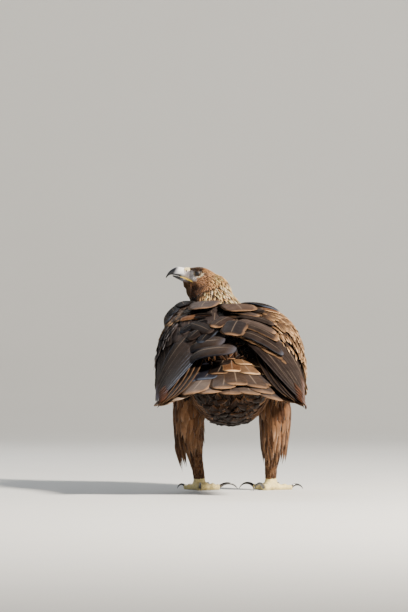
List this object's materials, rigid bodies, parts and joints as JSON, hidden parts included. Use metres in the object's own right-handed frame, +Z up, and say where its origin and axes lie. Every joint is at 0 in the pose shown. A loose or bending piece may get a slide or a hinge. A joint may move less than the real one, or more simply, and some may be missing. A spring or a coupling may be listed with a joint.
{
  "type": "golden eagle",
  "caption": "Standing golden eagle with loosely folded wings, a spread tail and its head turned to one side, as a still life-size model.",
  "frame": {"origin": "middle of the bounding box's underside, on the floor between the feet and the tail", "axes": "+Z up, -Y the way the breast faces, +X the bird's left"},
  "size_m": [0.3366, 0.702, 0.5014],
  "materials": {
    "bill_lower": "polished horn, pale at the base and black at the tip",
    "bill_upper": "polished horn, pale at the base and black at the tip",
    "cere": "waxy yellow skin",
    "eye_left": "wet dark amber eye",
    "eye_right": "wet dark amber eye",
    "foot_left": "scaly yellow skin",
    "foot_right": "scaly yellow skin",
    "head": "matte golden-brown feathers",
    "mantle": "matte dark brown feathers",
    "neck": "matte golden hackles",
    "tail": "matte grey-brown feathers",
    "talon_left_hind": "polished black horn",
    "talon_left_inner": "polished black horn",
    "talon_left_middle": "polished black horn",
    "talon_left_outer": "polished black horn",
    "talon_right_hind": "polished black horn",
    "talon_right_inner": "polished black horn",
    "talon_right_middle": "polished black horn",
    "talon_right_outer": "polished black horn",
    "tarsus_left": "matte brown short feathers",
    "tarsus_right": "matte brown short feathers",
    "thigh_left": "matte rich brown long feathers",
    "thigh_right": "matte rich brown long feathers",
    "torso": "matte dark brown body feathers",
    "wing_left": "matte dark brown feathers",
    "wing_right": "matte dark brown feathers"
  },
  "bodies": {
    "root": {"bill_lower": "bill_lower", "bill_upper": "bill_upper", "cere": "cere", "eye_left": "eye_left", "eye_right": "eye_right", "foot_left": "foot_left", "foot_right": "foot_right", "head": "head", "mantle": "mantle", "neck": "neck", "tail": "tail", "talon_left_hind": "talon_left_hind", "talon_left_inner": "talon_left_inner", "talon_left_middle": "talon_left_middle", "talon_left_outer": "talon_left_outer", "talon_right_hind": "talon_right_hind", "talon_right_inner": "talon_right_inner", "talon_right_middle": "talon_right_middle", "talon_right_outer": "talon_right_outer", "tarsus_left": "tarsus_left", "tarsus_right": "tarsus_right", "thigh_left": "thigh_left", "thigh_right": "thigh_right", "torso": "torso", "wing_left": "wing_left", "wing_right": "wing_right"}
  },
  "joints": []
}
